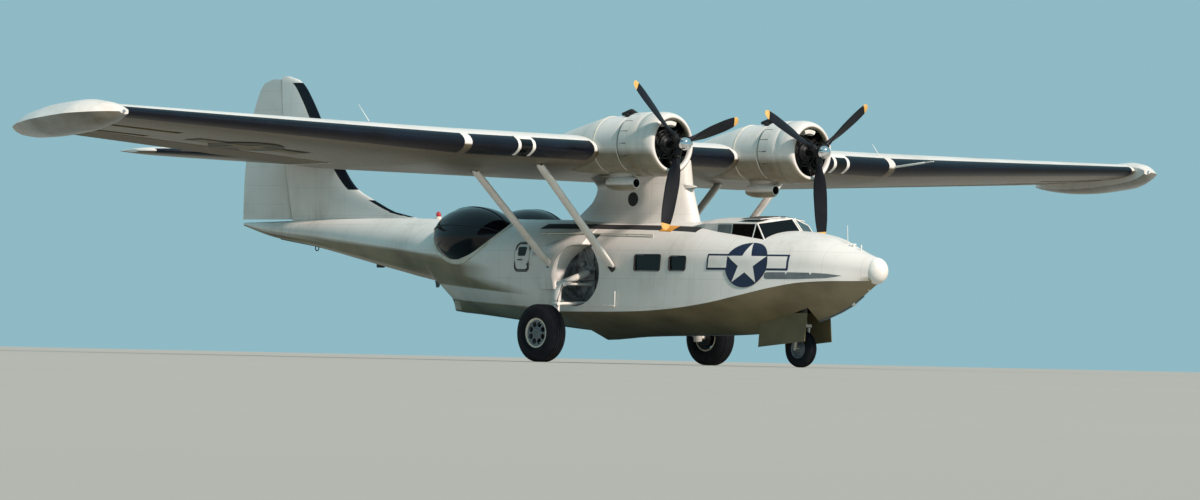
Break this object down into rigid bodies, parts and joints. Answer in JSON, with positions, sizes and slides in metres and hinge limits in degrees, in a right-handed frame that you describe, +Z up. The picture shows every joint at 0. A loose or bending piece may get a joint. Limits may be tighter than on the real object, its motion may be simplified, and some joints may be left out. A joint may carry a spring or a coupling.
{
  "type": "twin-engined amphibious flying boat",
  "caption": "Amphibious flying boat with a parasol wing on a pylon, two radial engines, folding tip floats, stepped hull, waist blisters and wheels.",
  "frame": {"origin": "on the ground under the middle of the outer box, which is on the plane of symmetry", "axes": "+Z up, nose towards -Y, +X to the port side"},
  "size_m": [31.724, 19.46, 6.2],
  "materials": {
    "hull_paint": "satin",
    "wing_paint": "satin",
    "doped_fabric": "satin",
    "engine_iron": "satin",
    "propeller_black": "satin",
    "blister_glass": "gloss",
    "window_glass": "gloss",
    "tyre_rubber": "matte",
    "wheel_metal": "satin",
    "gear_steel": "satin",
    "cockpit_black": "matte",
    "seat_leather": "matte"
  },
  "bodies": {
    "airframe": {"hull_bow": "hull_paint", "hull_centre": "hull_paint", "hull_waist": "hull_paint", "hull_tail": "hull_paint", "nose_cap": "hull_paint", "canopy_frame": "hull_paint", "cockpit_glass": "window_glass", "instrument_panel": "cockpit_black", "control_yoke": "cockpit_black", "seat_port": "seat_leather", "seat_starboard": "seat_leather", "blister_glass_port": "blister_glass", "blister_glass_starboard": "blister_glass", "wing_centre": "wing_paint", "wing_outer_port": "wing_paint", "wing_outer_starboard": "wing_paint", "pylon": "wing_paint", "wing_strut_front_port": "wing_paint", "wing_strut_front_starboard": "wing_paint", "wing_strut_rear_port": "wing_paint", "wing_strut_rear_starboard": "wing_paint", "nacelle_port": "wing_paint", "nacelle_starboard": "wing_paint", "engine_port": "engine_iron", "engine_starboard": "engine_iron", "cowling_port": "wing_paint", "cowling_starboard": "wing_paint", "fin": "wing_paint", "tailplane": "wing_paint", "main_leg_port": "hull_paint", "main_leg_starboard": "hull_paint", "nose_leg": "gear_steel", "nose_door_port": "hull_paint", "nose_door_starboard": "hull_paint"},
    "propeller_port": {"propeller_port": "propeller_black"},
    "propeller_starboard": {"propeller_starboard": "propeller_black"},
    "main_wheel_port": {"main_tyre_port": "tyre_rubber", "main_hub_port": "wheel_metal"},
    "main_wheel_starboard": {"main_tyre_starboard": "tyre_rubber", "main_hub_starboard": "wheel_metal"},
    "nose_fork": {"nose_fork": "gear_steel"},
    "nose_wheel": {"nose_tyre": "tyre_rubber", "nose_hub": "wheel_metal"},
    "rudder": {"rudder": "doped_fabric"},
    "elevators": {"elevator_port": "doped_fabric", "elevator_starboard": "doped_fabric"},
    "aileron_port": {"aileron_port": "doped_fabric"},
    "aileron_starboard": {"aileron_starboard": "doped_fabric"},
    "tip_float_port": {"tip_float_port": "wing_paint"},
    "tip_float_starboard": {"tip_float_starboard": "wing_paint"},
    "entry_hatch": {"entry_hatch": "hull_paint"}
  },
  "joints": [
    {"name": "propeller_port_spin", "type": "hinge", "parent": "airframe", "child": "propeller_port", "pos_m": [2.045, -5.92, 4.45], "axis": [0, 1, 0], "continuous": true},
    {"name": "propeller_starboard_spin", "type": "hinge", "parent": "airframe", "child": "propeller_starboard", "pos_m": [-2.045, -5.92, 4.45], "axis": [0, 1, 0], "continuous": true},
    {"name": "main_wheel_port_spin", "type": "hinge", "parent": "airframe", "child": "main_wheel_port", "pos_m": [2.48, -2.49, 0.595], "axis": [1, 0, 0], "continuous": true},
    {"name": "main_wheel_starboard_spin", "type": "hinge", "parent": "airframe", "child": "main_wheel_starboard", "pos_m": [-2.48, -2.49, 0.595], "axis": [1, 0, 0], "continuous": true},
    {"name": "nose_steer", "type": "hinge", "parent": "airframe", "child": "nose_fork", "pos_m": [0, -7.52, 1], "axis": [0, 0, 1], "range_deg": [-30, 30]},
    {"name": "nose_wheel_spin", "type": "hinge", "parent": "nose_fork", "child": "nose_wheel", "pos_m": [0, -7.47, 0.38], "axis": [1, 0, 0], "continuous": true},
    {"name": "rudder_hinge", "type": "hinge", "parent": "airframe", "child": "rudder", "pos_m": [0, 8.12, 2.99], "axis": [0, 0.1434, 0.9897], "range_deg": [-22, 22]},
    {"name": "elevator_hinge", "type": "hinge", "parent": "airframe", "child": "elevators", "pos_m": [0, 8.02, 4.36], "axis": [1, 0, 0], "range_deg": [-20, 30]},
    {"name": "aileron_port_hinge", "type": "hinge", "parent": "airframe", "child": "aileron_port", "pos_m": [7, -0.83439, 4.08812], "axis": [0.9949, -0.0925, 0.0402], "range_deg": [-20, 20]},
    {"name": "aileron_starboard_hinge", "type": "hinge", "parent": "airframe", "child": "aileron_starboard", "pos_m": [-7, -0.83439, 4.08812], "axis": [0.9949, 0.0925, -0.0402], "range_deg": [-20, 20]},
    {"name": "float_port_swing", "type": "hinge", "parent": "airframe", "child": "tip_float_port", "pos_m": [12.64, -2.81, 4.31385], "axis": [0, 0.9991, -0.0422], "range_deg": [0, 90]},
    {"name": "float_starboard_swing", "type": "hinge", "parent": "airframe", "child": "tip_float_starboard", "pos_m": [-12.64, -2.81, 4.31385], "axis": [0, -0.9991, 0.0422], "range_deg": [0, 90]},
    {"name": "entry_hatch_hinge", "type": "hinge", "parent": "airframe", "child": "entry_hatch", "pos_m": [-1.512, -0.984, 1.89], "axis": [0.1897, 0, 0.9818], "range_deg": [0, 95]}
  ],
  "couplings": [
    {"joint": "aileron_starboard_hinge", "follows": "aileron_port_hinge", "ratio": -1},
    {"joint": "float_starboard_swing", "follows": "float_port_swing", "ratio": 1}
  ]
}
